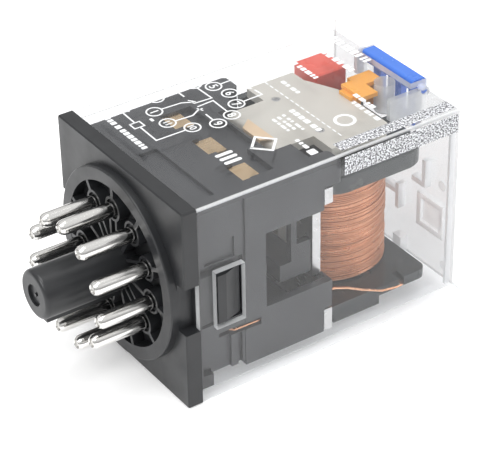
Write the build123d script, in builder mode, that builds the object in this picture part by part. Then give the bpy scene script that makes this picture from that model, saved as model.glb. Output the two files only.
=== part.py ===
from build123d import *
from math import cos, sin, radians, tan, pi
import os

# Eleven-pin plug-in relay, three changeover poles, clear cover, coil with a
# vertical axis, hinged armature, blue latching test lever, orange indicator.
# Frame: X is the plug axis with the pins towards -X, Z is up with the printed
# side on top, Y across. Origin on the plug axis at the flange's pin-side face.

os.makedirs("parts", exist_ok=True)

# ---------------------------------------------------------------- dimensions
body_w = 34.5            # flange, square
flange_t = 2.5           # flange thickness
total_x = 52.3           # flange face to the cover's end
cover_w = 34.3           # cover, square
cover_wall = 1.0
end_wall = 1.2
cover_in = cover_w / 2 - cover_wall      # inner half width

pin_count = 11
pin_circle_r = 9.75      # radius of the pin circle
pin_r = 1.18
pin_bore_r = 0.62
pin_tip_x = -10.4
pin_tail_x = 4.6
pin_dimple = 1.2         # depth of the hollow in the tip
pin_cup_x = -2.4         # end of the wire cup inside the pin
pin_shoulder_x = -1.45   # the pin is a little thinner inside the base
pin_first = 90.0         # one pin is exactly on +Z

ring_ro = 15.5
ring_ri = 13.3
ring_x = -1.3
recess_x = 0.7
boss_r = 2.0
post_r = 3.95
post_x = -15.3
key_w = 1.6
key_r = 5.1

block_x0 = 3.6           # contact block
block_x1 = 26.0
block_hw = 15.6
block_z0 = -15.0
block_z1 = 14.7
win_x0 = 15.4
win_x1 = 25.2
win_z0 = -5.9
win_z1 = 7.3

poles = (-9.0, 0.0, 9.0)          # pole centres across Y
pole_names = ("left", "centre", "right")
spring_x = 15.5
spring_t = 0.3
spring_w = 4.6
spring_z0 = -9.4
spring_z1 = 11.2
spring_pivot_z = 10.4
contact_z = -7.5
contact_r = 1.3

hinge_x = 25.9           # armature hinge line, along Y
hinge_z = 12.6
arm_z0 = 12.7
arm_z1 = 14.2
arm_leg_x0 = 23.9
arm_leg_x1 = 25.4

yoke_x0 = 26.1
yoke_x1 = 27.6
coil_x = 37.6
coil_r = 9.7
coil_z0 = -12.7
coil_z1 = 7.3
bobbin_tube_r = 4.6
flange_lo_z = -14.3
flange_hi_z = 10.4
core_r = 3.5
pole_r = 4.4
pole_z = 11.15

lever_px = 50.9          # lever hinge line, along Y
lever_pz = 16.2
lever_hw = 6.4

wire_r = 0.19
lead_r = 0.38


def block(x0, x1, y0, y1, z0, z1, mode=Mode.ADD):
    """Rectangular block between two corners, in the builder that is open."""
    with Locations(((x0 + x1) / 2, (y0 + y1) / 2, (z0 + z1) / 2)):
        return Box(x1 - x0, y1 - y0, z1 - z0, mode=mode)


def rod_x(x0, x1, y, z, r, mode=Mode.ADD):
    """Round bar along X."""
    with Locations(((x0 + x1) / 2, y, z)):
        return Cylinder(r, x1 - x0, rotation=(0, 90, 0), mode=mode)


def rod_y(y0, y1, x, z, r, mode=Mode.ADD):
    """Round bar along Y."""
    with Locations((x, (y0 + y1) / 2, z)):
        return Cylinder(r, y1 - y0, rotation=(90, 0, 0), mode=mode)


def rod_z(z0, z1, x, y, r, mode=Mode.ADD):
    """Round bar along Z."""
    with Locations((x, y, (z0 + z1) / 2)):
        return Cylinder(r, z1 - z0, mode=mode)


def pin_yz(k):
    a = radians(pin_first + k * 360 / pin_count)
    return pin_circle_r * cos(a), pin_circle_r * sin(a)


def finish(part, name, color):
    part.label = name
    part.color = Color(*color)
    export_step(part, f"parts/{name}.step")


pins_at = [pin_yz(k) for k in range(pin_count)]
pin_angles = [pin_first + k * 360 / pin_count for k in range(pin_count)]

# ---------------------------------------------------------------- base
with BuildPart() as base:
    with BuildSketch(Plane.YZ):
        RectangleRounded(body_w, body_w, 0.35)
    extrude(amount=flange_t)
    chamfer(base.faces().sort_by(Axis.X)[0].outer_wire().edges(), 0.2)
    # notches in the middle of the two sides
    for s in (-1, 1):
        block(-1, flange_t + 1, s * 17.4 - 2.2, s * 17.4 + 2.2, -3.9, 4.3, Mode.SUBTRACT)
    # collar ring
    with BuildSketch(Plane.YZ.offset(ring_x)):
        Circle(ring_ro)
    extrude(amount=-ring_x + 0.3)
    fillet(base.edges().filter_by(GeomType.CIRCLE).group_by(Axis.X)[0], 0.25)
    # recess inside the ring
    with BuildSketch(Plane.YZ.offset(ring_x - 0.2)):
        Circle(ring_ri)
    extrude(amount=recess_x - ring_x + 0.2, mode=Mode.SUBTRACT)
    # ribs and bosses in the recess, level with the ring
    with BuildSketch(Plane.YZ.offset(ring_x + 0.05)):
        for k, (py, pz) in enumerate(pins_at):
            a = radians(pin_angles[k])
            with Locations((py, pz)):
                Circle(boss_r)
            # outer rib from the boss to the ring
            mid = (pin_circle_r + ring_ri + 0.4) / 2
            with Locations(Location((mid * cos(a), mid * sin(a)), pin_angles[k])):
                Rectangle(ring_ri + 0.4 - pin_circle_r, 0.7)
            # inner rib from the boss to the post, doubled at every other pin
            mid = (pin_circle_r + post_r - 0.4) / 2
            ln = pin_circle_r - post_r + 0.4
            if k % 2:
                with Locations(Location((mid * cos(a), mid * sin(a)), pin_angles[k])):
                    Rectangle(ln, 0.65)
            else:
                for d in (-0.8, 0.8):
                    with Locations(Location((mid * cos(a) - d * sin(a), mid * sin(a) + d * cos(a)), pin_angles[k])):
                        Rectangle(ln, 0.5)
    extrude(amount=recess_x - ring_x)
    # key post with its guide key
    with BuildSketch(Plane.YZ.offset(post_x)):
        Circle(post_r)
    extrude(amount=recess_x - post_x + 0.2)
    fillet(base.edges().filter_by(GeomType.CIRCLE).group_by(Axis.X)[0], 0.7)
    block(post_x + 1.4, recess_x, -key_w / 2, key_w / 2, -key_r, 0)
    with Locations((post_x + 0.0, 0, 0)):
        Cylinder(1.75, 0.9, rotation=(0, 90, 0), mode=Mode.SUBTRACT)
    rod_x(post_x + 0.2, post_x + 0.75, 0, 0, 0.3)
    # hollow of the post from the inside
    rod_x(post_x + 3, flange_t + 1, 0, 0, 2.2, Mode.SUBTRACT)
    # spigot inside the cover and the two tongues with snap nubs
    with BuildSketch(Plane.YZ.offset(flange_t)):
        RectangleRounded(2 * cover_in - 0.2, 2 * cover_in - 0.2, 1.0)
        RectangleRounded(2 * cover_in - 3.6, 2 * cover_in - 3.6, 0.6, mode=Mode.SUBTRACT)
    extrude(amount=1.0)
    for s in (-1, 1):
        y0, y1 = sorted((s * 14.7, s * (cover_in - 0.1)))
        block(flange_t, 10.2, y0, y1, -4.2, 4.2)
        with BuildSketch(Plane.XY.offset(-4.2)):
            with BuildLine():
                Polyline((5.9, s * (cover_in - 0.2)), (5.9, s * 16.95), (7.4, s * 16.95),
                         (10.2, s * (cover_in - 0.2)), close=True)
            make_face()
        extrude(amount=8.4)
    # foot behind the flange, below the contact block
    block(flange_t - 0.1, 5.4, -15.9, 15.9, -15.9, -13.7)
    # pin bores and counterbores
    for py, pz in pins_at:
        rod_x(ring_x - 1, flange_t + 2, py, pz, pin_r - 0.02, Mode.SUBTRACT)
        rod_x(ring_x - 1, ring_x + 0.45, py, pz, 1.6, Mode.SUBTRACT)
finish(base.part, "base", (0.05, 0.05, 0.06))

# ---------------------------------------------------------------- pins
with BuildPart() as plug_pins:
    for py, pz in pins_at:
        with BuildSketch(Plane.XY.offset(pz)):
            with BuildLine():
                Polyline((pin_tip_x + pin_dimple, py), (pin_tip_x + pin_dimple, py + pin_bore_r),
                         (pin_tip_x + 0.55, py + pin_bore_r), (pin_tip_x + 0.15, py + pin_bore_r + 0.02),
                         (pin_tip_x, py + pin_bore_r + 0.16), (pin_tip_x + 0.1, py + pin_r - 0.3),
                         (pin_tip_x + 0.55, py + pin_r - 0.05), (pin_tip_x + 1.0, py + pin_r),
                         (pin_shoulder_x, py + pin_r), (pin_shoulder_x, py + pin_r - 0.05),
                         (flange_t + 0.05, py + pin_r - 0.05), (flange_t + 0.05, py + pin_r + 0.42),
                         (flange_t + 0.55, py + pin_r + 0.42), (flange_t + 0.55, py + pin_r - 0.12),
                         (pin_tail_x, py + pin_r - 0.12), (pin_tail_x, py + pin_bore_r),
                         (pin_cup_x, py + pin_bore_r), (pin_cup_x, py), close=True)
            make_face()
        revolve(axis=Axis((0, py, pz), (1, 0, 0)))
finish(plug_pins.part, "plug_pins", (0.75, 0.76, 0.78))

# ---------------------------------------------------------------- cover
with BuildPart() as cover:
    with BuildSketch(Plane.YZ.offset(flange_t)):
        RectangleRounded(cover_w, cover_w, 0.3)
    extrude(amount=total_x - flange_t)
    fillet(cover.faces().sort_by(Axis.X)[-1].outer_wire().edges(), 0.25)
    with BuildSketch(Plane.YZ.offset(flange_t - 0.1)):
        RectangleRounded(2 * cover_in, 2 * cover_in, 0.3)
    extrude(amount=total_x - end_wall - flange_t + 0.1, mode=Mode.SUBTRACT)
    # windows for the snap nubs
    for s in (-1, 1):
        y0, y1 = sorted((s * 15.5, s * 18))
        block(5.5, 10.6, y0, y1, -5.0, 5.0, Mode.SUBTRACT)
    # reinforcing tabs on the end wall's inside: square frame, ribs and a pair of hooks
    fx = total_x - end_wall - 0.6
    block(fx, total_x - end_wall, -13.8, -7.3, -8.8, -2.6)
    block(fx - 0.1, total_x - end_wall - 0.1, -12.9, -8.3, -7.8, -3.6, Mode.SUBTRACT)
    block(fx - 0.6, total_x - end_wall, -9.9, -6.5, -0.7, 0.2)
    block(fx - 0.6, total_x - end_wall, -9.9, -9.1, -0.7, 4.3)
    block(fx - 0.9, total_x - end_wall, -3.7, -2.9, -7.6, -3.0)
    block(fx - 0.9, total_x - end_wall, -3.7, 1.0, -5.0, -4.2)
    block(fx - 0.9, total_x - end_wall, -4.6, -2.5, -15.6, -12.9)
    for ey, ez in ((-12.9, 0.9), (-14.0, -13.6), (12.9, 0.9), (14.0, -13.6)):
        with Locations((total_x - end_wall - 0.05, ey, ez)):
            Cylinder(0.85, 0.3, rotation=(0, 90, 0))
    # vertical channel beside the near corner of the end wall
    block(total_x - end_wall - 0.9, total_x - end_wall, -15.4, -14.9, -16.2, 12.5)
    # cheeks that carry the lever's trunnions, rounded below
    for s in (-1, 1):
        with BuildSketch(Plane.XZ.offset(-s * 7.0 + (0.45 if s > 0 else -0.45) * 0)):
            with BuildLine():
                xa = 44.2 if s < 0 else 49.1
                Polyline((total_x - end_wall + 0.1, cover_in + 0.1), (xa, cover_in + 0.1), (xa, 12.6), (xa + 1.6, 11.0),
                         (total_x - end_wall + 0.1, 11.0), close=True)
            make_face()
        extrude(amount=-0.9 * s)
    # round post above the indicator's notch
    rod_z(10.9, cover_in + 0.1, 47.3, -2.4, 1.67)
    fillet([e for e in cover.edges().filter_by(GeomType.CIRCLE) if abs(e.center().Z - 10.9) < 0.05], 0.6)
    # notch for the lever's head, then for its finger frame, and the trunnion holes
    block(49.0, total_x + 1, -6.75, 6.75, 14.2, 19, Mode.SUBTRACT)
    block(total_x - end_wall - 0.4, total_x + 1, -5.6, 5.6, 7.6, 15, Mode.SUBTRACT)
    rod_y(-8.2, 8.2, lever_px, lever_pz - 0.35, 0.72, Mode.SUBTRACT)
finish(cover.part, "cover", (0.85, 0.9, 0.95))

# ---------------------------------------------------------------- contact block
with BuildPart() as contact_block:
    block(11.5, block_x1, -block_hw, block_hw, block_z0, block_z1)
    block(block_x0, 11.5, -block_hw + 0.15, block_hw - 0.15, -14.3, block_z1)
    # lugs beside the yoke, lobes over the armature's neck
    for s in (-1, 1):
        y0, y1 = sorted((s * 12.75, s * block_hw))
        block(block_x1 - 0.2, yoke_x1, y0, y1, -10.7, -5.9)
        y0, y1 = sorted((s * 11.7, s * block_hw))
        block(block_x1 - 0.2, 29.4, y0, y1, 11.2, block_z1)
    fillet(contact_block.edges().filter_by(Axis.Z).group_by(Axis.X)[-1], 0.8)
    # inner room for springs, card and armature leg, open towards the yoke
    block(11.4, block_x1 + 1, -14.3, 14.3, -13.2, 13.2, Mode.SUBTRACT)
    # side windows
    for s in (-1, 1):
        y0, y1 = sorted((s * 13.5, s * 17))
        block(win_x0, block_x1 + 0.5, y0, y1, win_z0, win_z1, Mode.SUBTRACT)
        block(20.0, win_x1, y0, y1, win_z0 + 1.0, win_z0 + 1.2, Mode.SUBTRACT)
    # opening in the top for the armature's neck
    block(22.3, block_x1 + 1, -7.1, 7.1, 12, 16, Mode.SUBTRACT)
    # shallow recess in the top, deeper one at its end
    block(5.8, 9.0, -12.0, 3.7, block_z1 - 0.6, block_z1 + 1, Mode.SUBTRACT)
    block(15.7, 20.0, -11.2, 11.2, block_z1 - 0.9, block_z1 + 1, Mode.SUBTRACT)
    block(19.9, 21.9, -4.3, 4.3, block_z1 - 0.9, block_z1 + 1, Mode.SUBTRACT)
    for yp in poles:
        block(14.4, 15.8, yp - 2.35, yp + 2.35, 12.5, block_z1 + 1, Mode.SUBTRACT)
    # lower room behind the base for the wiring
    block(block_x0 - 1, 9.6, -13.4, 13.4, -12.9, 13.2, Mode.SUBTRACT)
    # relief for the base's tongues, seam grooves, square recess and ledge on both sides
    for s in (-1, 1):
        y0, y1 = sorted((s * 14.5, s * 17))
        block(block_x0 - 1, 11.3, y0, y1, -5.3, 5.3, Mode.SUBTRACT)
        y0, y1 = sorted((s * 15.25, s * 17))
        block(11.35, 11.75, y0, y1, 3.4, block_z1 + 1, Mode.SUBTRACT)
        y0, y1 = sorted((s * 15.0, s * 17))
        block(4.6, 9.9, y0, y1, 5.5, 9.0, Mode.SUBTRACT)
        y0, y1 = sorted((s * 14.75, s * 17))
        block(8.4, 14.4, y0, y1, -8.5, -7.3, Mode.SUBTRACT)
        y0, y1 = sorted((s * 14.9, s * 17))
        block(block_x0 - 1, 9.0, y0, y1, -15, -7.3, Mode.SUBTRACT)
        block(10.2, 11.0, y0, y1, -15, -8.6, Mode.SUBTRACT)
        # lead tunnel
        rod_x(14, 29, s * 15.0, -8.15, 0.42, Mode.SUBTRACT)
    block(block_x0 - 1, 5.6, -17, 17, -16, -13.4, Mode.SUBTRACT)
    # passage for the coil leads into the wiring room
    for s in (-1, 1):
        y0, y1 = sorted((s * 12.6, s * 15.4))
        block(7.2, 10.0, y0, y1, -8.5, -7.3, Mode.SUBTRACT)
    # slots in the partition for the strips' tails
    for yp in poles:
        block(9, 12, yp - 1.15, yp + 1.15, 12.3, 13.05, Mode.SUBTRACT)
        block(9, 12, yp - 1.15, yp + 1.15, -5.3, -4.6, Mode.SUBTRACT)
        block(9, 12, yp - 1.15, yp + 1.15, -11.35, -10.55, Mode.SUBTRACT)
    # barriers between the poles
    for s in (-1, 1):
        block(11.2, 14.3, s * 4.5 - 0.45, s * 4.5 + 0.45, -13.4, 13.4)
    # ribs along the top
    block(16.0, 22.2, -0.4, 0.4, 13.0, 13.4)
finish(contact_block.part, "contact_block", (0.07, 0.07, 0.08))

with BuildPart() as spring_clamp:
    block(15.95, 17.6, -14.2, 14.2, 9.5, 12.95)
    for s in (-1, 1):
        block(14.4, 15.95, s * 4.5 - 1.6, s * 4.5 + 1.6, 11.8, 12.95)
    chamfer(spring_clamp.edges().filter_by(Axis.Y).group_by(Axis.Z)[0], 0.3)
finish(spring_clamp.part, "spring_clamp", (0.08, 0.08, 0.09))

# ---------------------------------------------------------------- contact springs and strips
for name, yp in zip(pole_names, poles):
    with BuildPart() as moving_spring:
        with BuildSketch(Plane.YZ.offset(spring_x - spring_t / 2)):
            with BuildLine():
                Polyline((yp - 1.5, spring_z0), (yp + 1.5, spring_z0), (yp + spring_w / 2, spring_z0 + 2.2),
                         (yp + spring_w / 2, spring_z1), (yp - spring_w / 2, spring_z1),
                         (yp - spring_w / 2, spring_z0 + 2.2), close=True)
            make_face()
            with Locations((yp, contact_z)):
                Circle(0.68, mode=Mode.SUBTRACT)
            with Locations((yp, 3.2)):
                SlotOverall(7.0, 1.1, rotation=90, mode=Mode.SUBTRACT)
        extrude(amount=spring_t)
    finish(moving_spring.part, f"moving_spring_{name}", (0.80, 0.47, 0.28))

    with BuildPart() as moving_contact:
        x0, x1 = spring_x - spring_t / 2, spring_x + spring_t / 2
        rod_x(x0, x1, yp, contact_z, 0.65)
        rod_x(x0 - 0.6, x0, yp, contact_z, contact_r)
        rod_x(x1, x1 + 0.6, yp, contact_z, contact_r)
        fillet(moving_contact.edges().filter_by(GeomType.CIRCLE).group_by(Axis.X)[0], 0.25)
        fillet(moving_contact.edges().filter_by(GeomType.CIRCLE).group_by(Axis.X)[-1], 0.25)
    finish(moving_contact.part, f"moving_contact_{name}", (0.85, 0.85, 0.83))

    with BuildPart() as common_terminal:
        with BuildSketch(Plane.XZ.offset(-(yp + 2.2))):
            with BuildLine():
                Polyline((14.55, 9.8), (15.15, 9.8), (15.15, 14.0), (17.8, 14.0), (17.8, 14.3), (14.55, 14.3),
                         (14.55, 12.95), (8.6, 12.95), (8.6, 12.4), (14.55, 12.4), close=True)
            make_face()
        extrude(amount=4.4)
        for s in (-1, 1):
            y0, y1 = sorted((yp + s * 1.05, yp + s * 3))
            block(8, 12.4, y0, y1, 12, 13.4, Mode.SUBTRACT)
    finish(common_terminal.part, f"common_terminal_{name}", (0.82, 0.6, 0.35))

    with BuildPart() as open_terminal:
        with BuildSketch(Plane.XZ.offset(-(yp + 2.0))):
            with BuildLine():
                Polyline((11.5, -9.8), (11.95, -9.8), (11.95, -4.7), (8.6, -4.7), (8.6, -5.2), (11.5, -5.2), close=True)
            make_face()
        extrude(amount=4.0)
        for s in (-1, 1):
            y0, y1 = sorted((yp + s * 1.05, yp + s * 3))
            block(8, 11.45, y0, y1, -6, -4, Mode.SUBTRACT)
        rod_x(11, 12.5, yp, contact_z, 0.68, Mode.SUBTRACT)
    finish(open_terminal.part, f"open_terminal_{name}", (0.82, 0.6, 0.35))

    with BuildPart() as closed_terminal:
        with BuildSketch(Plane.XZ.offset(-(yp + 2.2))):
            with BuildLine():
                Polyline((16.97, -5.9), (17.47, -5.9), (17.47, -11.2), (8.6, -11.2), (8.6, -10.7), (16.97, -10.7), close=True)
            make_face()
        extrude(amount=4.4)
        for s in (-1, 1):
            y0, y1 = sorted((yp + s * 1.05, yp + s * 3))
            block(8, 12.4, y0, y1, -12, -10, Mode.SUBTRACT)
        rod_x(16, 18, yp, contact_z, 0.68, Mode.SUBTRACT)
    finish(closed_terminal.part, f"closed_terminal_{name}", (0.86, 0.62, 0.42))

with BuildPart() as open_contact_rivets:
    for yp in poles:
        rod_x(11.5, 11.95, yp, contact_z, 0.65)
        rod_x(11.95, 12.5, yp, contact_z, contact_r)
finish(open_contact_rivets.part, "open_contact_rivets", (0.85, 0.85, 0.83))

with BuildPart() as closed_contact_rivets:
    for yp in poles:
        rod_x(16.97, 17.47, yp, contact_z, 0.65)
        rod_x(16.37, 16.97, yp, contact_z, contact_r)
        rod_x(17.47, 17.95, yp, contact_z, 0.95)
finish(closed_contact_rivets.part, "closed_contact_rivets", (0.85, 0.85, 0.83))

# ---------------------------------------------------------------- magnet frame
with BuildPart() as yoke:
    block(yoke_x0, yoke_x1, -9.0, 9.0, -16.0, 12.4)
    block(yoke_x0, yoke_x1, -12.5, 12.5, -14.9, 10.9)
    for s in (-1, 1):
        y0, y1 = sorted((s * 8.5, s * block_hw))
        block(yoke_x0, yoke_x1, y0, y1, 8.2, 10.9)
        block(yoke_x0, yoke_x1, y0, y1, -14.9, -11.0)
    block(yoke_x1 - 0.1, 43.6, -9.0, 9.0, -16.0, -14.5)
    fillet(yoke.edges().filter_by(Axis.Z).group_by(Axis.X)[-1], 1.5)
    rod_z(-17, -14, coil_x, 0, 2.52, Mode.SUBTRACT)
finish(yoke.part, "yoke", (0.72, 0.73, 0.74))

with BuildPart() as core:
    rod_z(-16.0, -14.45, coil_x, 0, 2.5)
    rod_z(-14.48, 10.0, coil_x, 0, core_r)
    rod_z(9.9, pole_z, coil_x, 0, pole_r)
    chamfer(core.edges().filter_by(GeomType.CIRCLE).group_by(Axis.Z)[-1], 0.25)
finish(core.part, "core", (0.66, 0.67, 0.69))

with BuildPart() as bobbin:
    rod_z(flange_lo_z, flange_hi_z - 0.6, coil_x, 0, bobbin_tube_r)
    with BuildSketch(Plane.XY.offset(flange_lo_z)):
        with Locations(((27.9 + 47.7) / 2, 0)):
            RectangleRounded(47.7 - 27.9, 27.6, 1.6)
    extrude(amount=coil_z0 - flange_lo_z)
    with BuildSketch(Plane.XY.offset(coil_z1)):
        with Locations(((27.9 + 47.6) / 2, 0)):
            RectangleRounded(47.6 - 27.9, 27.4, 4.2)
    extrude(amount=flange_hi_z - coil_z1)
    fillet(bobbin.faces().sort_by(Axis.Z)[-1].outer_wire().edges(), 0.6)
    # tongues under the lower flange, beside the yoke
    for s in (-1, 1):
        y0, y1 = sorted((s * 9.3, s * 13.6))
        block(29.4, 38.3, y0, y1, -16.0, flange_lo_z + 0.01)
    # pocket for the pole face, bore for the core, notch for the indicator
    rod_z(9.8, 12, coil_x, 0, pole_r + 0.15, Mode.SUBTRACT)
    rod_z(-20, 12, coil_x, 0, core_r + 0.04, Mode.SUBTRACT)
    block(46.2, 49, -3.3, 3.3, 6, 12, Mode.SUBTRACT)
    # side walls on the upper flange, one each side of the armature
    for s in (-1, 1):
        y0, y1 = sorted((s * 12.0, s * 13.3))
        block(30.2, 39.6, y0, y1, flange_hi_z - 0.2, 12.2)
    # lead notch at each front corner of the lower flange
    for s in (-1, 1):
        y0, y1 = sorted((s * 11.8, s * 15))
        block(42.1, 43.1, y0, y1, -15, -12, Mode.SUBTRACT)
        rod_z(-15, -12, 39.42, s * 9.55, 0.5, Mode.SUBTRACT)
    # holes for the coil tags
    for x in (42.2, 45.4):
        block(x - 0.3, x + 0.3, 9.1, 10.9, coil_z1 + 0.8, 12, Mode.SUBTRACT)
finish(bobbin.part, "bobbin", (0.06, 0.06, 0.07))

with BuildPart() as coil_winding:
    with BuildSketch(Plane.XY.offset(coil_z0 + 0.02)):
        with Locations((coil_x, 0)):
            Circle(coil_r)
            Circle(bobbin_tube_r + 0.04, mode=Mode.SUBTRACT)
    extrude(amount=coil_z1 - coil_z0 - 0.04)
finish(coil_winding.part, "coil_winding", (0.85, 0.5, 0.33))

# ---------------------------------------------------------------- coil leads
for name, s in (("coil_lead_start", -1), ("coil_lead_finish", 1)):
    # pin on this side: the ones nearest to z = -6.4
    py, pz = min((p for p in pins_at if p[0] * s > 0), key=lambda p: abs(p[1] + 6.4))
    pts = [(pin_cup_x + 0.1, py, pz), (5.2, py, pz), (5.3, s * 12.2, -7.7), (8.0, s * 13.3, -7.9), (9.9, s * 15.05, -8.05),
           (13.6, s * 15.05, -8.15),
           (28.4, s * 15.0, -8.15), (31.2, s * 14.75, -9.4), (34.0, s * 14.55, -11.0), (38.2, s * 14.45, -13.0),
           (41.0, s * 14.4, -13.5), (42.4, s * 14.3, -13.6), (42.6, s * 13.2, -13.8),
           (42.5, s * 12.5, -14.62), (39.3, s * 9.42, -14.62), (39.3, s * 9.42, -12.74)]
    with BuildPart() as coil_lead:
        with BuildLine() as route:
            FilletPolyline(*pts, radius=0.45)
        with BuildSketch(Plane(origin=pts[0], z_dir=(1, 0, 0))):
            Circle(wire_r)
        sweep()
    finish(coil_lead.part, name, (0.85, 0.5, 0.33))
    run = sum(e.length for e in route.line.edges())
    print(name, "length", round(run, 2), "volume", round(coil_lead.part.volume, 4),
          "section x length", round(pi * wire_r ** 2 * run, 4))

# ---------------------------------------------------------------- wiring behind the base
# each row: pin index on the circle, X level of the crossing, points (y, z) up to the strip's tail
strip_x = 8.58
com_z, open_z, closed_z = 12.67, -4.95, -10.95
wiring = (
    (0, 6.3, [(0.0, com_z)]),
    (6, 7.3, [(9.0, com_z)]),
    (5, 7.3, [(-9.0, com_z)]),
    (8, 7.3, [(9.0, open_z)]),
    (3, 7.3, [(-9.0, open_z)]),
    (1, 5.35, [(0.0, open_z)]),
    (9, 6.3, [(7.4, -1.4), (9.0, closed_z)]),
    (2, 6.3, [(-7.4, -1.4), (-9.0, closed_z)]),
    (10, 5.35, [(0.0, closed_z)]),
)
with BuildPart() as contact_leads:
    for k, level, stops in wiring:
        py, pz = pins_at[k]
        pts = [(pin_cup_x + 0.1, py, pz), (level, py, pz)] + [(level, y, z) for y, z in stops] + [(strip_x, *stops[-1])]
        with BuildLine() as route:
            FilletPolyline(*pts, radius=0.55)
        with BuildSketch(Plane(origin=pts[0], z_dir=(1, 0, 0))):
            Circle(lead_r)
        sweep()
finish(contact_leads.part, "contact_leads", (0.78, 0.76, 0.72))

# ---------------------------------------------------------------- armature
with BuildPart() as armature:
    with BuildSketch(Plane.XY.offset(arm_z0)):
        with BuildLine():
            Polyline((arm_leg_x0, -6.6), (30.6, -6.6), (30.6, -11.2), (40.9, -11.2), (42.0, -10.0), (42.0, 2.6),
                     (39.4, 8.2), (39.4, 11.2), (30.6, 11.2), (30.6, 6.6), (arm_leg_x0, 6.6), close=True)
        make_face()
    extrude(amount=arm_z1 - arm_z0)
    block(arm_leg_x0, arm_leg_x1, -6.6, 6.6, -3.4, arm_z1)
    fillet(armature.edges().filter_by(Axis.Y).group_by(Axis.X)[0].sort_by(Axis.Z)[-1], 1.0)
    fillet(armature.edges().filter_by(Axis.Z).group_by(Axis.X)[-1], 0.5)
    for s in (-1, 1):
        rod_z(arm_z0 - 1, arm_z1 + 1, 32.4, s * 5.8, 0.72, Mode.SUBTRACT)
finish(armature.part, "armature", (0.78, 0.76, 0.72))

with BuildPart() as armature_rivets:
    for s in (-1, 1):
        rod_z(arm_z0 - 0.25, arm_z1 - 0.05, 32.4, s * 5.8, 0.7)
        with Locations((32.4, s * 5.8, arm_z1 - 0.05)):
            Cylinder(0.45, 0.5, mode=Mode.SUBTRACT)
finish(armature_rivets.part, "armature_rivets", (0.72, 0.70, 0.66))

with BuildPart() as contact_card:
    block(19.4, arm_leg_x0, -13.4, 13.4, -4.4, -1.4)
    for s in (-1, 1):
        y0, y1 = sorted((s * 12.2, s * 13.4))
        block(21.5, 25.1, y0, y1, -4.4, 8.6)
        block(22.5, 26.0, y0 - 1, y1 + 1, 1.4, 10, Mode.SUBTRACT)
    for yp in poles:
        block(16.0, 19.5, yp - 1.0, yp + 1.0, -4.2, -2.8)
    fillet(contact_card.edges().filter_by(Axis.Y).group_by(Axis.Z)[-1], 0.3)
finish(contact_card.part, "contact_card", (0.08, 0.08, 0.09))

with BuildPart() as return_spring:
    # leaf that is hooked under the block's top edge and lies over the armature's corner
    with BuildSketch(Plane.XY.offset(14.55)):
        with BuildLine():
            Polyline((22.75, -3.5), (24.9, -4.4), (24.9, 2.6), (22.75, 0.9), close=True)
        make_face()
    extrude(amount=0.25)
    block(22.75, 23.0, -3.3, 0.7, 12.85, 14.7)
    block(21.0, 23.0, -3.3, -0.6, 12.85, 13.1)
finish(return_spring.part, "return_spring", (0.86, 0.62, 0.42))

# ---------------------------------------------------------------- indicator, cap, tags
with BuildPart() as indicator_flag:
    block(42.05, 45.2, -3.4, 1.9, 14.75, 15.45)
    block(44.0, 48.6, -0.3, 2.9, 14.75, 15.45)
    block(42.05, 43.0, -2.0, 1.6, 13.0, 14.8)
    block(41.3, 42.6, -1.6, 1.4, arm_z1 + 0.02, 14.8)
    block(47.6, 48.6, -0.3, 2.6, 9.9, 14.8)
    fillet(indicator_flag.edges().filter_by(Axis.Y).group_by(Axis.X)[-1].sort_by(Axis.Z)[-1], 0.4)
finish(indicator_flag.part, "indicator_flag", (0.96, 0.6, 0.2))

with BuildPart() as coil_terminal_cap:
    block(41.2, 47.4, 7.5, 13.5, flange_hi_z + 0.02, 14.5)
    fillet(coil_terminal_cap.edges().filter_by(Axis.Z), 0.4)
    chamfer(coil_terminal_cap.faces().sort_by(Axis.Z)[-1].outer_wire().edges(), 0.25)
    block(41.8, 46.2, 8.4, 11.6, flange_hi_z - 1, 13.3, Mode.SUBTRACT)
finish(coil_terminal_cap.part, "coil_terminal_cap", (0.93, 0.35, 0.28))

with BuildPart() as coil_tags:
    for x in (42.2, 45.4):
        block(x - 0.25, x + 0.25, 9.2, 10.8, coil_z1 + 1.0, 13.0)
finish(coil_tags.part, "coil_tags", (0.8, 0.8, 0.78))

# ---------------------------------------------------------------- test lever
with BuildPart() as latching_lever:
    block(49.6, total_x, -lever_hw, lever_hw, 15.1, cover_w / 2)
    fillet(latching_lever.edges().filter_by(Axis.Y), 0.55)
    # finger frame below the head, with a middle bar
    block(total_x - end_wall + 0.05, total_x, -5.3, 5.3, 8.0, 15.7)
    for s in (-1, 1):
        y0, y1 = sorted((s * 1.7, s * 3.5))
        block(total_x - 3, total_x + 1, y0, y1, 9.4, 14.7, Mode.SUBTRACT)
    # trunnions
    rod_y(-7.7, 7.7, lever_px, lever_pz - 0.35, 0.6)
finish(latching_lever.part, "latching_lever", (0.22, 0.42, 0.85))
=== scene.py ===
import bpy, bmesh, math
import numpy as np
from mathutils import Vector, Matrix, noise


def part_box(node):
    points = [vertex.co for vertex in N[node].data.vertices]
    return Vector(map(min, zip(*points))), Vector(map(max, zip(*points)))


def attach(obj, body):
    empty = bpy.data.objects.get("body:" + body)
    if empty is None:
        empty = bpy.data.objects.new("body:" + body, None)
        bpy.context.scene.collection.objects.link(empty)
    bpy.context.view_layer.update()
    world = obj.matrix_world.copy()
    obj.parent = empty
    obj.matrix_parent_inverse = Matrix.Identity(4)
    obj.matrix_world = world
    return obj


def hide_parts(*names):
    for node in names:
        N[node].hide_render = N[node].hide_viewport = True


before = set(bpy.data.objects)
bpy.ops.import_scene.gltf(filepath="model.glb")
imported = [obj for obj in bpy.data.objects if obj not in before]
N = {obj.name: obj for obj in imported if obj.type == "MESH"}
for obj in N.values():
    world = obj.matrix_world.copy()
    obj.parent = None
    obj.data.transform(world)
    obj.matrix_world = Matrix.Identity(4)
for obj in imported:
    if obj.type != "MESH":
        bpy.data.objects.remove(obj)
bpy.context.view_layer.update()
MM = 0.001
rng = np.random.default_rng(11)


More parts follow.
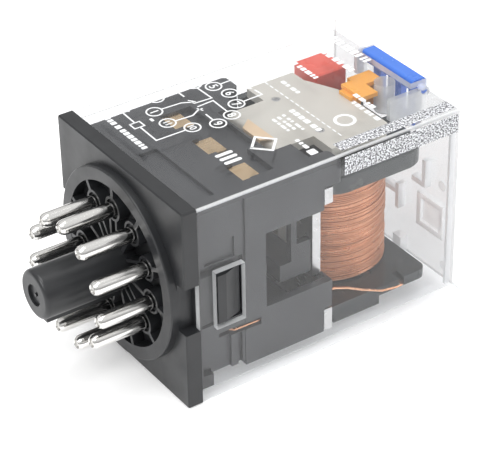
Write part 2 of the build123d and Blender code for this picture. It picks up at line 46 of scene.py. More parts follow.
# ------------------------------------------------------------------ camera, light, floor
def camera():
    az, el, roll = math.radians(-33.7803201), math.radians(33.45023849), math.radians(-1.19274979)
    back = Vector((math.sin(az) * math.cos(el), -math.cos(az) * math.cos(el), math.sin(el)))
    right = (-back).cross(Vector((0, 0, 1))).normalized()
    up = right.cross(-back)
    r = right * math.cos(roll) + up * math.sin(roll)
    u = -right * math.sin(roll) + up * math.cos(roll)
    pos = (Vector((20.22173798, -2.44826513, 0)) + back * 324.1042469882322) * MM
    cam = bpy.data.objects.new("camera", bpy.data.cameras.new("camera"))
    bpy.context.scene.collection.objects.link(cam)
    m = Matrix((r, u, back)).transposed().to_4x4()
    m.translation = pos
    cam.matrix_world = m
    cam.data.sensor_width = 36
    cam.data.lens = 2108.645818238086 / 486 * 36
    cam.data.clip_start = 0.01
    cam.data.clip_end = 20
    bpy.context.scene.camera = cam


def area(name, loc, target, size, power, size_y=None):
    d = bpy.data.lights.new(name, "AREA")
    d.shape = "RECTANGLE"
    d.size = size
    d.size_y = size_y or size
    d.energy = power
    o = bpy.data.objects.new(name, d)
    bpy.context.scene.collection.objects.link(o)
    o.location = loc
    o.rotation_euler = (Vector(target) - Vector(loc)).to_track_quat("-Z", "Y").to_euler()
    return o


camera()
scene = bpy.context.scene
scene.view_settings.view_transform = "Standard"
world = bpy.data.worlds.new("studio")
scene.world = world
world.use_nodes = True
wt = world.node_tree
bg = wt.nodes["Background"]
# a pale room with a soft darker band low down, so that metal has something to mirror
tc = wt.nodes.new("ShaderNodeTexCoord")
sep = wt.nodes.new("ShaderNodeSeparateXYZ")
ramp = wt.nodes.new("ShaderNodeValToRGB")
mr = wt.nodes.new("ShaderNodeMapRange")
mr.inputs["From Min"].default_value = -1
mr.inputs["From Max"].default_value = 1
wt.links.new(tc.outputs["Generated"], sep.inputs[0])
wt.links.new(sep.outputs["Z"], mr.inputs["Value"])
wt.links.new(mr.outputs[0], ramp.inputs[0])
wt.links.new(ramp.outputs[0], bg.inputs["Color"])
e = ramp.color_ramp.elements
e[0].position, e[0].color = 0.0, (0.95, 0.95, 0.95, 1)
e[1].position, e[1].color = 1.0, (1, 1, 1, 1)
for p, v in ((0.50, 0.75), (0.55, 0.40), (0.63, 0.45), (0.74, 0.85)):
    k = e.new(p)
    k.color = (v, v, v, 1)
bg.inputs["Strength"].default_value = 0.9

area("key", (-0.42, -0.10, 0.50), (0.02, 0, 0), 0.30, 1.5)
area("fill_right", (0.42, -0.34, 0.30), (0.03, 0, 0), 0.30, 0.5)
area("top", (0.00, 0.02, 0.62), (0.02, 0, 0), 0.30, 1.3)


def make_floor():
    bm = bmesh.new()
    bmesh.ops.create_grid(bm, x_segments=24, y_segments=24, size=2.2)
    me = bpy.data.meshes.new("floor")
    bm.to_mesh(me)
    bm.free()
    o = bpy.data.objects.new("floor", me)
    scene.collection.objects.link(o)
    o.location = (0.02, 0, -17.25 * MM - 0.00002)
    m = bpy.data.materials.new("floor_paper")
    m.use_nodes = True
    b = m.node_tree.nodes["Principled BSDF"]
    b.inputs["Base Color"].default_value = (0.93, 0.93, 0.93, 1)
    b.inputs["Roughness"].default_value = 0.9
    b.inputs["Specular IOR Level"].default_value = 0.1
    b.inputs["Emission Color"].default_value = (1, 1, 1, 1)
    b.inputs["Emission Strength"].default_value = 0.30
    me.materials.append(m)


make_floor()


# ------------------------------------------------------------------ materials
def nodes_of(m):
    nt = m.node_tree
    return nt, nt.nodes, nt.links


def principled(name, color, rough, metallic=0.0, spec=0.5, var=0.08, var_scale=300.0, rough_var=0.08, bump=0.05,
               bump_scale=1500.0, bump_dist=0.00002, coat=0.0, coat_rough=0.1, color2=None, stretch=(1, 1, 1),
               transmission=0.0, ior=1.5, subsurface=0.0, sss_radius=None, detail=4.0):
    """A moulded, plated or enamelled surface: colour that varies a little, roughness from fine noise, and a fine bump."""
    m = bpy.data.materials.new(name)
    m.use_nodes = True
    nt, ns, ln = nodes_of(m)
    b = ns["Principled BSDF"]
    tc = ns.new("ShaderNodeTexCoord")
    mp = ns.new("ShaderNodeMapping")
    mp.inputs["Scale"].default_value = stretch
    ln.new(tc.outputs["Object"], mp.inputs["Vector"])
    n1 = ns.new("ShaderNodeTexNoise")
    n1.inputs["Scale"].default_value = var_scale
    n1.inputs["Detail"].default_value = detail
    ln.new(mp.outputs[0], n1.inputs["Vector"])
    mix = ns.new("ShaderNodeMix")
    mix.data_type = "RGBA"
    c = color
    c2 = color2 or tuple(max(0.0, min(1.0, x * (1 - var))) for x in c)
    c1 = tuple(max(0.0, min(1.0, x * (1 + var))) for x in c)
    mix.inputs["A"].default_value = (*c1, 1)
    mix.inputs["B"].default_value = (*c2, 1)
    ln.new(n1.outputs["Fac"], mix.inputs["Factor"])
    ln.new(mix.outputs["Result"], b.inputs["Base Color"])
    n2 = ns.new("ShaderNodeTexNoise")
    n2.inputs["Scale"].default_value = bump_scale
    n2.inputs["Detail"].default_value = 3.0
    ln.new(mp.outputs[0], n2.inputs["Vector"])
    r = ns.new("ShaderNodeMapRange")
    r.inputs["To Min"].default_value = max(0.02, rough - rough_var)
    r.inputs["To Max"].default_value = min(1.0, rough + rough_var)
    r.inputs["From Min"].default_value = 0.3
    r.inputs["From Max"].default_value = 0.7
    ln.new(n1.outputs["Fac"], r.inputs["Value"])
    ln.new(r.outputs[0], b.inputs["Roughness"])
    if bump:
        bp = ns.new("ShaderNodeBump")
        bp.inputs["Strength"].default_value = bump
        bp.inputs["Distance"].default_value = bump_dist
        ln.new(n2.outputs["Fac"], bp.inputs["Height"])
        ln.new(bp.outputs[0], b.inputs["Normal"])
    b.inputs["Metallic"].default_value = metallic
    b.inputs["Specular IOR Level"].default_value = spec
    b.inputs["Coat Weight"].default_value = coat
    b.inputs["Coat Roughness"].default_value = coat_rough
    b.inputs["IOR"].default_value = ior
    b.inputs["Transmission Weight"].default_value = transmission
    if subsurface:
        b.inputs["Subsurface Weight"].default_value = subsurface
        b.inputs["Subsurface Radius"].default_value = sss_radius or (0.001, 0.001, 0.001)
        b.inputs["Subsurface Scale"].default_value = 1.0
    return m


def clear_plastic(name, body=None, amount=0.0, rough=0.03):
    """Clear moulded wall: what is behind it shows through, with a mirror layer that grows at grazing angles.
    With body it is partly filled by a moulded surface of that colour, as on textured faces; on the cover's cut edges
    and radii a pale fill of this kind is a painted highlight."""
    m = bpy.data.materials.new(name)
    m.use_nodes = True
    nt, ns, ln = nodes_of(m)
    b = ns["Principled BSDF"]
    out = ns["Material Output"]
    tc = ns.new("ShaderNodeTexCoord")
    n1 = ns.new("ShaderNodeTexNoise")
    n1.inputs["Scale"].default_value = 900.0 if body else 160.0
    n1.inputs["Detail"].default_value = 3.0
    ln.new(tc.outputs["Object"], n1.inputs["Vector"])
    t = ns.new("ShaderNodeBsdfTransparent")
    t.inputs["Color"].default_value = (0.965, 0.968, 0.972, 1)
    g = ns.new("ShaderNodeBsdfGlossy")
    mix = ns.new("ShaderNodeMix")
    mix.data_type = "RGBA"
    mix.inputs["A"].default_value = (1, 1, 1, 1)
    mix.inputs["B"].default_value = (0.94, 0.94, 0.95, 1)
    ln.new(n1.outputs["Fac"], mix.inputs["Factor"])
    ln.new(mix.outputs["Result"], g.inputs["Color"])
    r = ns.new("ShaderNodeMapRange")
    r.inputs["To Min"].default_value = rough * 0.5
    r.inputs["To Max"].default_value = rough * 1.6
    ln.new(n1.outputs["Fac"], r.inputs["Value"])
    ln.new(r.outputs[0], g.inputs["Roughness"])
    lw = ns.new("ShaderNodeLayerWeight")
    lw.inputs["Blend"].default_value = 0.5
    pw = ns.new("ShaderNodeMath")
    pw.operation = "POWER"
    pw.inputs[1].default_value = 5.0
    ln.new(lw.outputs["Facing"], pw.inputs[0])
    fr = ns.new("ShaderNodeMath")
    fr.operation = "MULTIPLY_ADD"
    fr.inputs[1].default_value = 0.9
    fr.inputs[2].default_value = 0.035
    ln.new(pw.outputs[0], fr.inputs[0])
    ms = ns.new("ShaderNodeMixShader")
    ln.new(fr.outputs[0], ms.inputs["Fac"])
    ln.new(t.outputs[0], ms.inputs[1])
    ln.new(g.outputs[0], ms.inputs[2])
    last = ms
    if body:
        c = ns.new("ShaderNodeMix")
        c.data_type = "RGBA"
        c.inputs["A"].default_value = (*body, 1)
        c.inputs["B"].default_value = (*(x * 0.8 for x in body), 1)
        ln.new(n1.outputs["Fac"], c.inputs["Factor"])
        ln.new(c.outputs["Result"], b.inputs["Base Color"])
        b.inputs["Roughness"].default_value = 0.35
        m2 = ns.new("ShaderNodeMixShader")
        m2.inputs["Fac"].default_value = amount
        ln.new(ms.outputs[0], m2.inputs[1])
        ln.new(b.outputs[0], m2.inputs[2])
        last = m2
    else:
        ns.remove(b)
    t2 = ns.new("ShaderNodeBsdfTransparent")
    t2.inputs["Color"].default_value = (0.95, 0.955, 0.96, 1)
    lp = ns.new("ShaderNodeLightPath")
    fin = ns.new("ShaderNodeMixShader")
    ln.new(lp.outputs["Is Shadow Ray"], fin.inputs["Fac"])
    ln.new(last.outputs[0], fin.inputs[1])
    ln.new(t2.outputs[0], fin.inputs[2])
    ln.new(fin.outputs[0], out.inputs["Surface"])
    return m


def speckled(name):
    """Stipple with painted glints: the base colour speckles from near black to near white, painting the sparkle and
    shade of small glossy facets.
    """
    m = bpy.data.materials.new(name)
    m.use_nodes = True
    nt, ns, ln = nodes_of(m)
    b = ns["Principled BSDF"]
    tc = ns.new("ShaderNodeTexCoord")
    n1 = ns.new("ShaderNodeTexNoise")
    n1.inputs["Scale"].default_value = 3600.0
    n1.inputs["Detail"].default_value = 1.0
    ln.new(tc.outputs["Object"], n1.inputs["Vector"])
    r = ns.new("ShaderNodeMapRange")
    r.inputs["From Min"].default_value = 0.42
    r.inputs["From Max"].default_value = 0.58
    ln.new(n1.outputs["Fac"], r.inputs["Value"])
    mix = ns.new("ShaderNodeMix")
    mix.data_type = "RGBA"
    # painted shade and painted glints: the dark and near-white speckle colours on the clear grip
    mix.inputs["A"].default_value = (0.10, 0.10, 0.11, 1)
    mix.inputs["B"].default_value = (0.86, 0.87, 0.90, 1)
    ln.new(r.outputs[0], mix.inputs["Factor"])
    ln.new(mix.outputs["Result"], b.inputs["Base Color"])
    b.inputs["Roughness"].default_value = 0.3
    return m


M = {}
M["base"] = principled("base_moulding", (0.020, 0.021, 0.023), 0.36, var=0.25, var_scale=220, rough_var=0.08, bump=0.25,
                       bump_scale=2600, bump_dist=0.00001)
M["block"] = principled("block_moulding", (0.048, 0.050, 0.054), 0.40, var=0.18, var_scale=180, rough_var=0.08, bump=0.2,
                        bump_scale=2400, bump_dist=0.00001)
M["card"] = principled("card_moulding", (0.030, 0.032, 0.035), 0.36, var=0.18, var_scale=260, bump=0.2, bump_scale=2400,
                       bump_dist=0.00001)
M["bobbin"] = principled("bobbin_moulding", (0.022, 0.028, 0.030), 0.22, var=0.2, var_scale=200, rough_var=0.06, bump=0.12,
                         bump_scale=1500, bump_dist=0.00001, spec=0.6)
M["pins"] = principled("pin_plating", (0.80, 0.79, 0.77), 0.16, metallic=1.0, var=0.06, var_scale=500, rough_var=0.07, bump=0.10,
                       bump_scale=1800, bump_dist=0.00001)
M["steel"] = principled("plated_steel", (0.62, 0.62, 0.62), 0.34, metallic=1.0, var=0.10, var_scale=500, rough_var=0.10,
                        bump=0.15, bump_scale=1200, bump_dist=0.00001, stretch=(1, 1, 3))
M["armature"] = principled("armature_plating", (0.69, 0.66, 0.60), 0.52, metallic=0.35, var=0.06, var_scale=300, rough_var=0.08,
                           bump=0.2, bump_scale=2200, bump_dist=0.00001)
M["core"] = principled("core_iron", (0.55, 0.55, 0.54), 0.38, metallic=1.0, var=0.10, var_scale=500, bump=0.1)
M["spring"] = principled("spring_bronze", (0.86, 0.55, 0.34), 0.24, metallic=1.0, var=0.06, var_scale=400, bump=0.08,
                         stretch=(1, 1, 4))
M["terminal"] = principled("terminal_brass", (0.84, 0.62, 0.38), 0.28, metallic=1.0, var=0.07, var_scale=400, bump=0.08)
M["silver"] = principled("contact_silver", (0.88, 0.88, 0.86), 0.22, metallic=1.0, var=0.05, var_scale=700, bump=0.08)
M["tin"] = principled("tinned_wire", (0.72, 0.71, 0.69), 0.30, metallic=1.0, var=0.08, var_scale=900, bump=0.15,
                      bump_scale=2500)
M["solder"] = principled("solder", (0.70, 0.69, 0.67), 0.34, metallic=1.0, var=0.15, var_scale=1200, rough_var=0.14, bump=0.3,
                         bump_scale=1500, bump_dist=0.00003)
M["wire"] = principled("enamelled_wire", (0.88, 0.46, 0.27), 0.26, metallic=0.85, var=0.10, var_scale=700, rough_var=0.08,
                       bump=0.1, bump_scale=2500, coat=0.3, coat_rough=0.15)
M["winding"] = principled("winding_copper", (0.86, 0.43, 0.25), 0.33, metallic=0.75, var=0.16, var_scale=220, rough_var=0.12,
                          bump=0.12, bump_scale=3000, coat=0.15, coat_rough=0.2, stretch=(1, 1, 5),
                          color2=(0.50, 0.19, 0.09))
M["red"] = principled("red_moulding", (0.80, 0.10, 0.06), 0.28, var=0.08, var_scale=250, bump=0.1, bump_scale=1800,
                      subsurface=0.15, sss_radius=(0.002, 0.0006, 0.0004))
M["orange"] = principled("orange_moulding", (0.95, 0.40, 0.045), 0.30, var=0.08, var_scale=250, bump=0.1, bump_scale=1800,
                         subsurface=0.2, sss_radius=(0.002, 0.001, 0.0004))
M["blue"] = principled("blue_moulding", (0.070, 0.20, 0.68), 0.26, var=0.08, var_scale=260, bump=0.1, bump_scale=1800,
                       subsurface=0.15, sss_radius=(0.0004, 0.0006, 0.002))
M["ink"] = principled("white_ink", (0.86, 0.87, 0.88), 0.55, var=0.04, var_scale=900, bump=0.15, bump_scale=3000,
                      bump_dist=0.00001)
# the grip's sparkle is painted glints and shade in its base colour
M["frost"] = speckled("frosted_grip_painted_glints")
M["leaf"] = principled("leaf_copper", (0.90, 0.68, 0.46), 0.38, metallic=0.5, var=0.05, var_scale=300, bump=0.08)
M["cover"] = clear_plastic("clear_cover")
# painted highlight: a pale white fill, mixed in at 0.62, that stands in for the bright lines light makes along the
# cover's edges and radii
M["cover_edge"] = clear_plastic("clear_edge_painted_highlight", (0.90, 0.91, 0.92), 0.62)
M["cover_end"] = clear_plastic("clear_textured_end", (0.34, 0.31, 0.29), 0.34, rough=0.2)


def give(node, mat):
    o = N[node]
    o.data.materials.clear()
    o.data.materials.append(mat)


for n, k in (("base", "base"), ("plug_pins", "pins"), ("cover", "cover"), ("contact_block", "block"), ("spring_clamp", "block"),
             ("yoke", "steel"), ("core", "core"), ("bobbin", "bobbin"), ("coil_winding", "winding"), ("armature", "armature"),
             ("armature_rivets", "steel"), ("contact_card", "card"), ("return_spring", "leaf"), ("indicator_flag", "orange"),
             ("coil_terminal_cap", "red"), ("coil_tags", "tin"), ("latching_lever", "blue"), ("contact_leads", "tin"),
             ("coil_lead_start", "wire"), ("coil_lead_finish", "wire"), ("open_contact_rivets", "silver"),
             ("closed_contact_rivets", "silver")):
    give(n, M[k])
for p in ("left", "centre", "right"):
    give(f"moving_spring_{p}", M["spring"])
    give(f"moving_contact_{p}", M["silver"])
    for t in ("common", "open", "closed"):
        give(f"{t}_terminal_{p}", M["terminal"])


# the cover's flat walls are clear; its cut edges, radii and inside details get a painted highlight, a pale white fill
# in place of the light they catch; its end wall is textured inside
co = N["cover"]
co.data.materials.append(M["cover_edge"])
co.data.materials.append(M["cover_end"])
for poly in co.data.polygons:
    w = co.matrix_world @ poly.center * 1000
    n = poly.normal
    wall = (abs(n.y) > 0.99 and min(abs(abs(w.y) - 17.15), abs(abs(w.y) - 16.15)) < 0.03) or (
        abs(n.z) > 0.99 and min(abs(abs(w.z) - 17.15), abs(abs(w.z) - 16.15)) < 0.03) or (
        n.x > 0.99 and abs(w.x - 52.3) < 0.03)
    inner_end = n.x < -0.99 and abs(w.x - 51.1) < 0.03
    # faces that are neither flat wall nor inner end wall take slot 1, the painted-highlight edge material
    poly.material_index = 2 if inner_end else 0 if wall else 1


# smooth shading by angle on the carried-over nodes, with no change to their vertices
def smooth_by_angle(o, deg=32):
    me = o.data
    me.polygons.foreach_set("use_smooth", [True] * len(me.polygons))
    bm = bmesh.new()
    bm.from_mesh(me)
    sharp = {}
    for ed in bm.edges:
        if len(ed.link_faces) != 2 or ed.calc_face_angle(0) > math.radians(deg):
            sharp[ed.index] = True
    bm.free()
    for ed in me.edges:
        ed.use_edge_sharp = ed.index in sharp


# ------------------------------------------------------------------ mesh helpers
def new_mesh(name, verts, faces, mat, body="housing", smooth=True):
    me = bpy.data.meshes.new(name)
    me.from_pydata([tuple(v) for v in verts], [], [tuple(f) for f in faces])
    me.validate()
    me.update()
    o = bpy.data.objects.new(name, me)
    scene.collection.objects.link(o)
    me.materials.append(mat)
    if smooth:
        me.polygons.foreach_set("use_smooth", [True] * len(me.polygons))
    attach(o, body)
    return o


def tube(path, radius, sides=8, closed=False, cap=True):
    """Vertices and faces of a round tube along a path of points in metres."""
    P = np.array(path, float)
    n = len(P)
    T = np.roll(P, -1, 0) - np.roll(P, 1, 0) if closed else np.gradient(P, axis=0)
    T /= np.linalg.norm(T, axis=1)[:, None]
    ref = np.array([0, 0, 1.0])
    verts, faces = [], []
    prev = None
    for i in range(n):
        t = T[i]
        if prev is None:
            a = np.cross(t, ref)
            if np.linalg.norm(a) < 1e-6:
                a = np.cross(t, [0, 1.0, 0])
        else:
            a = prev - t * (prev @ t)
        a /= np.linalg.norm(a)
        prev = a
        b = np.cross(t, a)
        rr = radius[i] if hasattr(radius, "__len__") else radius
        for k in range(sides):
            w = 2 * math.pi * k / sides
            verts.append(P[i] + rr * (math.cos(w) * a + math.sin(w) * b))
    m = n if closed else n - 1
    for i in range(m):
        j = (i + 1) % n
        for k in range(sides):
            l = (k + 1) % sides
            faces.append((i * sides + k, i * sides + l, j * sides + l, j * sides + k))
    if cap and not closed:
        faces.append(tuple(range(sides)))
        faces.append(tuple(reversed(range((n - 1) * sides, n * sides))))
    return verts, faces


# ------------------------------------------------------------------ coil winding, turn by turn
def winding():
    lo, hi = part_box("coil_winding")
    cx, cy = (lo.x + hi.x) / 2, (lo.y + hi.y) / 2
    R = (hi.x - lo.x) / 2
    z0, z1 = lo.z, hi.z
    wire = 0.155 * MM
    pitch = 0.285 * MM
    turns = int((z1 - z0 - 2 * wire) / pitch)
    seg = 84
    pts, rad = [], []
    # each turn lies a little in or out and a little high or low, as on a scramble-wound coil
    off_r = np.interp(np.arange(turns * 4 + 8) / 4.0, np.arange(turns + 3), rng.normal(0, 0.11, turns + 3))
    off_z = np.interp(np.arange(turns * 4 + 8) / 4.0, np.arange(turns + 3), rng.normal(0, 0.05, turns + 3))
    total = turns * seg
    for i in range(total + 1):
        th = 2 * math.pi * i / seg
        q = i / seg * 4
        k = int(q)
        f = q - k
        dr = off_r[k] * (1 - f) + off_r[k + 1] * f
        dz = off_z[k] * (1 - f) + off_z[k + 1] * f
        x, y = math.cos(th), math.sin(th)
        wob = noise.noise(Vector((x * 1.6, y * 1.6, i / seg * 0.55))) * 0.10
        side = 0.10 * max(0.0, math.cos(th - math.radians(20))) ** 6 * noise.noise(Vector((3.1, i / seg * 1.9, 7.7)))
        r = R - wire - 0.16 * MM + (dr + wob + side) * MM
        r = min(r, R - wire)
        z = z0 + wire + (i / total) * (z1 - z0 - 2 * wire) + dz * MM
        z = min(max(z, z0 + wire), z1 - wire)
        pts.append((cx + r * x, cy + r * y, z))
    v, f = tube(pts, wire, sides=6)
    # the layer below, a plain core of copper that closes the gaps between turns
    nv = len(v)
    S, L = 96, 40
    ri, ro = 4.66 * MM, R - 0.42 * MM
    for a in range(S):
        w = 2 * math.pi * a / S
        for (r, z) in ((ri, z0 + 0.02 * MM), (ro, z0 + 0.02 * MM), (ro, z1 - 0.02 * MM), (ri, z1 - 0.02 * MM)):
            v.append(np.array((cx + r * math.cos(w), cy + r * math.sin(w), z)))
    for a in range(S):
        b = (a + 1) % S
        for k in range(4):
            l = (k + 1) % 4
            f.append((nv + a * 4 + k, nv + b * 4 + k, nv + b * 4 + l, nv + a * 4 + l))
    o = new_mesh("winding_turns", v, f, M["winding"])
    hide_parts("coil_winding")


winding()


# ------------------------------------------------------------------ print on the upper face
TOP = cad_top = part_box("cover")[1].z
INK = 0.035 * MM


class Ink:
    """White print: flat closed strips a few hundredths of a millimetre thick, on the cover's upper face."""

    def __init__(self):
        self.v, self.f = [], []

    def prism(self, outline, inner=None):
        """Closed thin slab of an outline in mm (x, y), with an optional inner outline of the same number of points."""
        z0, z1 = TOP, TOP + INK
        n = len(outline)
        b = len(self.v)
        if inner is None:
            for z in (z0, z1):
                self.v += [(x * MM, y * MM, z) for x, y in outline]
            self.f.append(tuple(b + i for i in reversed(range(n))))
            self.f.append(tuple(b + n + i for i in range(n)))
            for i in range(n):
                j = (i + 1) % n
                self.f.append((b + i, b + j, b + n + j, b + n + i))
            return
        for ring, z in ((outline, z0), (inner, z0), (outline, z1), (inner, z1)):
            self.v += [(x * MM, y * MM, z) for x, y in ring]
        for i in range(n):
            j = (i + 1) % n
            o0, i0, o1, i1 = b, b + n, b + 2 * n, b + 3 * n
            self.f.append((o0 + i, o0 + j, o1 + j, o1 + i))
            self.f.append((i0 + j, i0 + i, i1 + i, i1 + j))
            self.f.append((o1 + i, o1 + j, i1 + j, i1 + i))
            self.f.append((o0 + j, o0 + i, i0 + i, i0 + j))

    def line(self, pts, w=0.26):
        """A stroke of width w through the points, mitred at its corners."""
        P = [np.array(p, float) for p in pts]
        L, R = [], []
        for i, p in enumerate(P):
            d1 = (P[i] - P[i - 1]) if i else (P[1] - P[0])
            d2 = (P[i + 1] - P[i]) if i < len(P) - 1 else d1
            d1, d2 = d1 / np.linalg.norm(d1), d2 / np.linalg.norm(d2)
            n1, n2 = np.array((-d1[1], d1[0])), np.array((-d2[1], d2[0]))
            m = n1 + n2
            m /= np.linalg.norm(m)
            k = w / 2 / max(0.4, m @ n1)
            L.append(p + m * k)
            R.append(p - m * k)
        self.prism([tuple(x) for x in R] + [tuple(x) for x in reversed(L)])

    def ring(self, x, y, r, w=0.26, n=40):
        o = [(x + (r + w / 2) * math.cos(2 * math.pi * k / n), y + (r + w / 2) * math.sin(2 * math.pi * k / n)) for k in range(n)]
        i = [(x + (r - w / 2) * math.cos(2 * math.pi * k / n), y + (r - w / 2) * math.sin(2 * math.pi * k / n)) for k in range(n)]
        self.prism(o, i)

    def bar(self, x0, x1, y0, y1, r=0.12):
        r = min(r, (x1 - x0) / 2.01, abs(y1 - y0) / 2.01)
        y0, y1 = min(y0, y1), max(y0, y1)
        out = []
        for cx, cy, a0 in ((x1 - r, y1 - r, 0), (x0 + r, y1 - r, 90), (x0 + r, y0 + r, 180), (x1 - r, y0 + r, 270)):
            for k in range(4):
                a = math.radians(a0 + 30 * k)
                out.append((cx + r * math.cos(a), cy + r * math.sin(a)))
        self.prism(out)

    def words(self, x, y0, y1, h, seed, wmin=0.5, wmax=1.3, gap=0.28):
        """A row of plain bars in place of a line of words, from y0 down to y1, h tall."""
        g = np.random.default_rng(seed)
        y = y0
        while y > y1 + 0.2:
            w = min(g.uniform(wmin, wmax), y - y1)
            self.bar(x - h / 2, x + h / 2, y - w, y)
            y -= w + (gap if g.random() > 0.25 else gap * 2.2)

    def done(self, name):
        return new_mesh(name, self.v, self.f, M["ink"], smooth=False)


circles = {1: (12.41, 9.36), 2: (14.76, 12.64), 3: (18.8, 13.85), 4: (21.75, 12.85), 5: (23.95, 10.5), 6: (24.8, 7.3),
           7: (23.8, 4.0), 8: (21.37, 1.67), 9: (18.3, 0.81), 10: (14.55, 2.1), 11: (12.24, 5.36)}
ink = Ink()
for x, y in circles.values():
    ink.ring(x, y, 1.24, 0.26)
ink.line([(13.4, 12.68), (8.4, 12.8), (8.25, 8.35)])
ink.line([(8.25, 6.75), (8.15, 2.1), (13.15, 2.05)])
ink.line([(7.35, 8.3), (7.35, 6.8), (9.05, 6.8), (9.05, 8.3), (7.25, 8.3)], 0.24)
ink.line([(13.75, 9.38), (17.1, 9.2), (18.8, 8.3)])
ink.line([(18.4, 9.25), (19.1, 8.2)], 0.22)
ink.line([(13.6, 5.2), (16.5, 5.0), (18.1, 5.9), (18.85, 5.9)])
ink.line([(18.15, 6.4), (18.6, 5.3)], 0.22)
ink.line([(21.66, 11.5), (21.75, 7.7), (18.72, 7.9), (18.55, 8.45)])
ink.line([(18.5, 6.75), (21.48, 6.92), (21.38, 3.05)])
ink.line([(18.3, 4.15), (18.25, 2.15)])
ink.line([(18.5, 12.5), (18.56, 10.5)])
ink.line([(25.15, 4.0), (28.6, 4.05), (28.45, 5.9)])
ink.line([(25.3, 10.5), (28.5, 10.55), (28.4, 8.9)])
ink.line([(26.15, 7.3), (27.3, 7.3), (28.4, 6.5)])
ink.bar(10.55, 11.05, 7.1, 8.0)
ink.done("print_circuit")

# numbers in the circles, read with the cover's end upwards
dg = bpy.context.evaluated_depsgraph_get()
for k, (x, y) in circles.items():
    cu = bpy.data.curves.new(f"number_{k}", "FONT")
    cu.body = str(k)
    cu.size = 2.0 * MM if k < 10 else 1.62 * MM
    cu.align_x, cu.align_y = "CENTER", "CENTER"
    cu.extrude = INK / 2
    cu.offset = 0.03 * MM
    cu.space_character = 0.85
    cu.resolution_u = 4
    t = bpy.data.objects.new(f"number_{k}", cu)
    scene.collection.objects.link(t)
    me = bpy.data.meshes.new_from_object(t.evaluated_get(bpy.context.evaluated_depsgraph_get()))
    bpy.data.objects.remove(t)
    o = bpy.data.objects.new(f"pin_number_{k}", me)
    scene.collection.objects.link(o)
    xs = [v.co.x for v in me.vertices]
    ys = [v.co.y for v in me.vertices]
    me.transform(Matrix.Translation((-(min(xs) + max(xs)) / 2, -(min(ys) + max(ys)) / 2, 0)))
    me.transform(Matrix.Rotation(math.radians(-90), 4, "Z"))
    me.transform(Matrix.Translation((x * MM, y * MM, TOP + INK / 2)))
    me.materials.clear()
    me.materials.append(M["ink"])
    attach(o, "housing")

# plain bars where the real one has words, and plain outlines where it has marks
txt = Ink()
txt.words(5.6, 13.6, 1.1, 0.95, 3, 0.55, 1.1, 0.22)
for i, (x, ya, yb, h) in enumerate(((48.0, 12.4, 2.8, 1.5), (44.2, 9.8, 1.4, 1.1), (38.3, 9.4, 3.2, 0.9), (33.4, 5.6, 0.6, 0.7),
                                    (29.4, -2.4, -9.9, 0.9), (27.6, -2.8, -8.2, 0.5), (26.6, -2.9, -7.4, 0.5), (25.6, -3.0, -7.9, 0.5),
                                    (40.0, -4.2, -9.3, 0.8), (38.4, -6.0, -12.9, 0.8), (25.0, -9.9, -12.9, 0.7))):
    txt.words(x, ya, yb, h, 20 + i)
y = 6.9
while y > -12.6:
    txt.bar(31.0, 31.2, y - 0.9, y, 0.05)
    y -= 1.35
# outlined lozenge and a block pair
txt.line([(18.3, -8.0), (20.5, -5.7), (22.7, -8.0), (20.5, -10.3), (18.14, -7.85)], 0.42)
txt.bar(12.6, 15.6, -7.3, -6.6, 0.3)
txt.bar(12.6, 15.6, -8.5, -7.8, 0.3)
txt.bar(12.6, 15.6, -9.7, -9.0, 0.3)
txt.ring(34.2, -9.6, 1.5, 0.5)
txt.bar(24.2, 25.6, -14.8, -13.4, 0.2)
txt.done("print_marks")


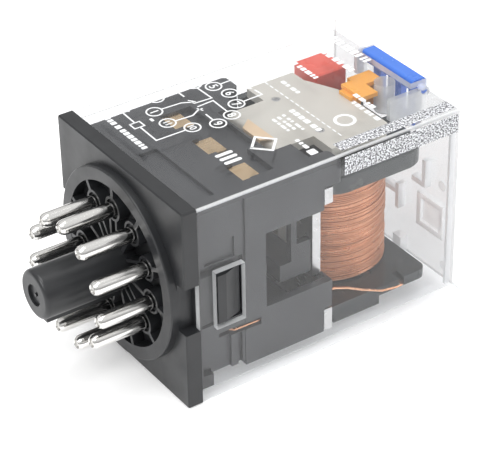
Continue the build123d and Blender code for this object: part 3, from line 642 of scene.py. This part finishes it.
# ------------------------------------------------------------------ stippled grip along the cover's upper front edge
def grip():
    lo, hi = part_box("cover")
    x0, x1 = 28.6 * MM, 50.0 * MM
    yf, zt = lo.y, hi.z
    cell = 0.24 * MM
    top_w, side_h = 2.3 * MM, 3.2 * MM
    v, f = [], []

    def patch(o, du, dv, nu, nv, nrm):
        """Closed thin slab with a stippled outer face."""
        b = len(v)
        H = rng.uniform(0.0, 0.11, (nu + 1, nv + 1)) * MM
        H[0, :] = H[-1, :] = 0
        H[:, 0] = H[:, -1] = 0
        for i in range(nu + 1):
            for j in range(nv + 1):
                ji = (rng.random() - 0.5) * 0.5 if 0 < i < nu else 0
                jj = (rng.random() - 0.5) * 0.5 if 0 < j < nv else 0
                p = o + du * (i + ji) + dv * (j + jj)
                v.append(tuple(p + nrm * (0.01 * MM + H[i, j])))
        off = len(v) - b
        for i in range(nu + 1):
            for j in range(nv + 1):
                v.append(tuple(o + du * i + dv * j))
        s = nv + 1
        for i in range(nu):
            for j in range(nv):
                a = b + i * s + j
                f.append((a, a + s, a + s + 1, a + 1))
                c = a + off
                f.append((c, c + 1, c + s + 1, c + s))
        for i in range(nu):
            for j in (0, nv):
                a, c = b + i * s + j, b + off + i * s + j
                q = (a, c, c + s, a + s)
                f.append(q if j == 0 else tuple(reversed(q)))
        for j in range(nv):
            for i in (0, nu):
                a, c = b + i * s + j, b + off + i * s + j
                q = (a, a + 1, c + 1, c)
                f.append(q if i == 0 else tuple(reversed(q)))

    nu = int((x1 - x0) / cell)
    X = Vector(((x1 - x0) / nu, 0, 0))
    nt = int(top_w / cell)
    patch(Vector((x0, yf + 0.75 * MM, zt)), X, Vector((0, top_w / nt, 0)), nu, nt, Vector((0, 0, 1)))
    ns = int(side_h / cell)
    patch(Vector((x0, yf, zt - 0.75 * MM - side_h)), X, Vector((0, 0, side_h / ns)), nu, ns, Vector((0, -1, 0)))
    return new_mesh("grip_stipple", v, f, M["frost"], smooth=False)


grip()


# ------------------------------------------------------------------ solder in the hollow pin tips
def solder():
    v, f = [], []
    S = 20
    for k in range(11):
        a = math.radians(90 + k * 360 / 11)
        cy, cz = 9.75 * math.cos(a), 9.75 * math.sin(a)
        prof = [(-9.2, 0.60), (-9.95, 0.60), (-10.12, 0.57), (-10.2, 0.42), (-10.14, 0.22), (-10.1, 0.0)]
        b = len(v)
        for x, r in prof[:-1]:
            for s in range(S):
                w = 2 * math.pi * s / S
                n = noise.noise(Vector((math.cos(w) * 1.3 + k * 3.3, math.sin(w) * 1.3, x * 2))) * 0.05
                rr = min(r * (1 + n * (1 if r < 0.58 else 0)), 0.60)
                v.append(((x + n * (1 if r < 0.58 else 0)) * MM, (cy + rr * math.cos(w)) * MM, (cz + rr * math.sin(w)) * MM))
        v.append((prof[-1][0] * MM, cy * MM, cz * MM))
        v.append((prof[0][0] * MM, cy * MM, cz * MM))
        for i in range(len(prof) - 2):
            for s in range(S):
                t = (s + 1) % S
                f.append((b + i * S + s, b + (i + 1) * S + s, b + (i + 1) * S + t, b + i * S + t))
        last = b + (len(prof) - 2) * S
        tip, root = len(v) - 2, len(v) - 1
        for s in range(S):
            t = (s + 1) % S
            f.append((last + s, tip, last + t))
            f.append((b + t, root, b + s))
    new_mesh("pin_solder", v, f, M["solder"])


solder()

for o in N.values():
    smooth_by_angle(o)

bpy.context.view_layer.update()
